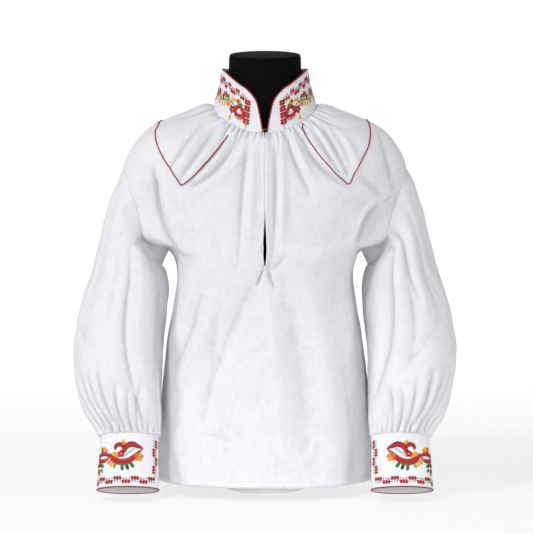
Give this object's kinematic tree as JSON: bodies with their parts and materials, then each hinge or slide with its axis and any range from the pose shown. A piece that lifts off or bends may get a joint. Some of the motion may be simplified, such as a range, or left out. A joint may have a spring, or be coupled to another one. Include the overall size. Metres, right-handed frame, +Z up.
{
  "type": "bunad shirt on dress form",
  "caption": "White linen folk shirt with a stand collar, front slit, underarm gussets and full sleeves gathered into embroidered cuffs, worn by a black limbless dress form on a plinth.",
  "frame": {"origin": "centre of the plinth's foot, on the surface that it stands on", "axes": "+Z up, +X to the right of someone facing the shirt's front, -Y out of the shirt's front"},
  "size_m": [0.5992, 0.2524, 0.694],
  "materials": {
    "linen": "matt plain-weave linen",
    "linen_band": "pressed double linen with embroidery",
    "red_cord": "twisted mercerised cord",
    "hook_brass": "brushed",
    "form_cloth": "matt jersey cover",
    "plinth": "pale satin paint"
  },
  "bodies": {
    "root": {"shirt_front": "linen", "shirt_back": "linen", "collar": "linen_band", "collar_cord": "red_cord", "collar_hook": "hook_brass", "slit_facing_left": "linen", "slit_facing_right": "linen", "sleeve_left": "linen", "sleeve_right": "linen", "gusset_left": "linen", "gusset_right": "linen", "cuff_left": "linen_band", "cuff_right": "linen_band", "cuff_cord_left": "red_cord", "cuff_cord_right": "red_cord", "form_torso": "form_cloth", "form_neck_cap": "form_cloth", "form_plinth": "plinth"}
  },
  "joints": []
}
